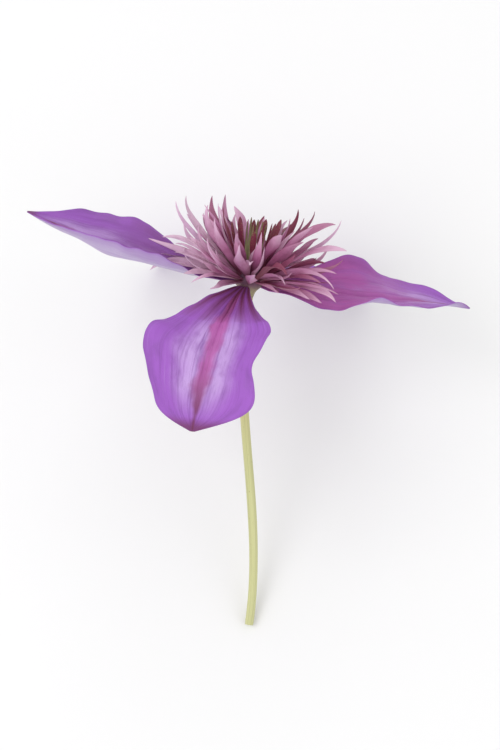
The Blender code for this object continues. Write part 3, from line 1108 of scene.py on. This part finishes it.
class CLEMATIS_OT_stalk(bpy.types.Operator):
    """Models the stalk, with its cut end"""

    bl_idname = "clematis.stalk"
    bl_label = "Stalk"
    bl_options = {"REGISTER", "UNDO"}

    def execute(self, context):
        colours = context.scene.clematis_colours
        rod = blank_rod("fine_stalk", STALK_STATIONS, STALK_SIDES)
        head = head_matrix()
        low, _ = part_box("stalk")
        foot = Vector((0.0, low.y, low.z)) + STALK_FOOT
        top = head @ Vector((0, 0, -NECK_LENGTH - SEAT_GAP))
        down = head.to_3x3() @ Vector((0, 0, -1))
        away = STALK_AIM.normalized()
        reach = (foot - top).length / 3
        shares = [i / STALK_STATIONS for i in range(STALK_STATIONS + 1)]
        points = [bezier(top, top + down * reach, foot - away * reach, foot, t) for t in shares]
        frames = []
        for i, at in enumerate(points):
            along = (points[min(i + 1, STALK_STATIONS)] - points[max(i - 1, 0)]).normalized()
            side = along.cross(Vector((0, 0, 1))).normalized()
            frames.append((at, side, side.cross(along)))

        def place(co):
            t = co.x
            at, side, up = frames[round(t * STALK_STATIONS)]
            angle = math.atan2(co.z, co.y)
            radius = STALK_RADIUS * (1 + STALK_FLARE * math.exp(-t * 22 / 1.5))
            radius *= 1 + 0.035 * math.cos(6 * angle + 3 * t) + 0.03 * math.sin(17 * t) * math.sin(5 * t + 1)
            radius -= CUT_ROUNDING * max(0.0, 1 - (1 - t) * 90)
            return at + (side * math.cos(angle) + up * math.sin(angle)) * radius

        shape(rod, place, Matrix.Identity(4))
        rod.data.materials.append(stalk_skin(colours))
        rod.data.materials.append(cut_skin())
        for face in rod.data.polygons:
            if len(face.vertices) == STALK_SIDES:
                face.material_index = 1
        finish_piece(rod, ["stalk"])
        return {"FINISHED"}


class CLEMATIS_OT_stage(bpy.types.Operator):
    """Sets the floor, the lights and the camera"""

    bl_idname = "clematis.stage"
    bl_label = "Stage"
    bl_options = {"REGISTER", "UNDO"}

    def execute(self, context):
        low, high = (Vector(corner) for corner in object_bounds())
        middle = (low + high) / 2
        make_floor()
        make_lights(middle)
        make_camera(middle)
        return {"FINISHED"}


def make_floor():
    """A wide sheet of pale paper just under the flower."""
    deselect_all()
    bpy.ops.mesh.primitive_plane_add(size=FLOOR_SIZE, location=(0, 0, -FLOOR_DROP))
    floor = bpy.context.object
    floor.name = "floor"
    bpy.ops.object.transform_apply(location=True, rotation=True, scale=True)
    paper = bpy.data.materials.new("pale paper")
    paper.use_nodes = True
    shader = paper.node_tree.nodes["Principled BSDF"]
    shader.inputs["Base Color"].default_value = FLOOR_WHITE
    shader.inputs["Roughness"].default_value = 0.9
    floor.data.materials.append(paper)
    floor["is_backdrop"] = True


def make_lights(middle):
    """A large soft key from the upper left, a weak fill from the right, one behind and an even pale sky."""
    for name, offset, size, power in LAMPS:
        data = bpy.data.lights.new(name, "AREA")
        data.size = size
        data.energy = power
        lamp = bpy.data.objects.new(name, data)
        lamp.location = middle + Vector(offset)
        lamp.rotation_euler = Vector(offset).to_track_quat("Z", "Y").to_euler()
        bpy.context.scene.collection.objects.link(lamp)
    world = bpy.data.worlds.new("pale sky")
    world.use_nodes = True
    sky = world.node_tree.nodes["Background"]
    sky.inputs["Color"].default_value = SKY_WHITE
    sky.inputs["Strength"].default_value = SKY_STRENGTH
    bpy.context.scene.world = world
    bpy.context.scene.view_settings.view_transform = "Standard"


def make_camera(middle):
    """Looks down on the flower from its stalk's side, so that its face slants as on its plant."""
    rise = math.radians(CAMERA_RISE)
    back = Vector((0, -math.cos(rise), math.sin(rise)))
    data = bpy.data.cameras.new("camera")
    data.lens = CAMERA_LENS
    data.clip_start = 0.01
    camera = bpy.data.objects.new("camera", data)
    camera.location = middle + CAMERA_AIM + back * CAMERA_DISTANCE
    camera.rotation_euler = back.to_track_quat("Z", "Y").to_euler()
    bpy.context.scene.collection.objects.link(camera)
    bpy.context.scene.camera = camera


class CLEMATIS_PT_panel(bpy.types.Panel):
    """The settings, and a button for each step"""

    bl_idname = "CLEMATIS_PT_panel"
    bl_label = "Clematis Flower"
    bl_space_type = "VIEW_3D"
    bl_region_type = "UI"
    bl_category = "Clematis"

    def draw(self, context):
        for group in (context.scene.clematis_sizes, context.scene.clematis_colours):
            for key in group.__annotations__:
                self.layout.prop(group, key)
        for operator in OPERATORS:
            self.layout.operator(operator.bl_idname)


OPERATORS = (
    CLEMATIS_OT_tepals,
    CLEMATIS_OT_staminodes,
    CLEMATIS_OT_stamens,
    CLEMATIS_OT_pistils,
    CLEMATIS_OT_receptacle,
    CLEMATIS_OT_stalk,
    CLEMATIS_OT_stage,
)
CLASSES = (ClematisSizes, ClematisColours, *OPERATORS, CLEMATIS_PT_panel)


def register():
    for cls in CLASSES:
        bpy.utils.register_class(cls)
    bpy.types.Scene.clematis_sizes = PointerProperty(type=ClematisSizes)
    bpy.types.Scene.clematis_colours = PointerProperty(type=ClematisColours)


def unregister():
    del bpy.types.Scene.clematis_colours
    del bpy.types.Scene.clematis_sizes
    for cls in reversed(CLASSES):
        bpy.utils.unregister_class(cls)


def main():
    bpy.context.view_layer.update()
    register()
    bpy.ops.clematis.tepals()
    bpy.ops.clematis.staminodes()
    bpy.ops.clematis.stamens()
    bpy.ops.clematis.pistils()
    bpy.ops.clematis.receptacle()
    bpy.ops.clematis.stalk()
    bpy.ops.clematis.stage()


if __name__ == "__main__":
    main()
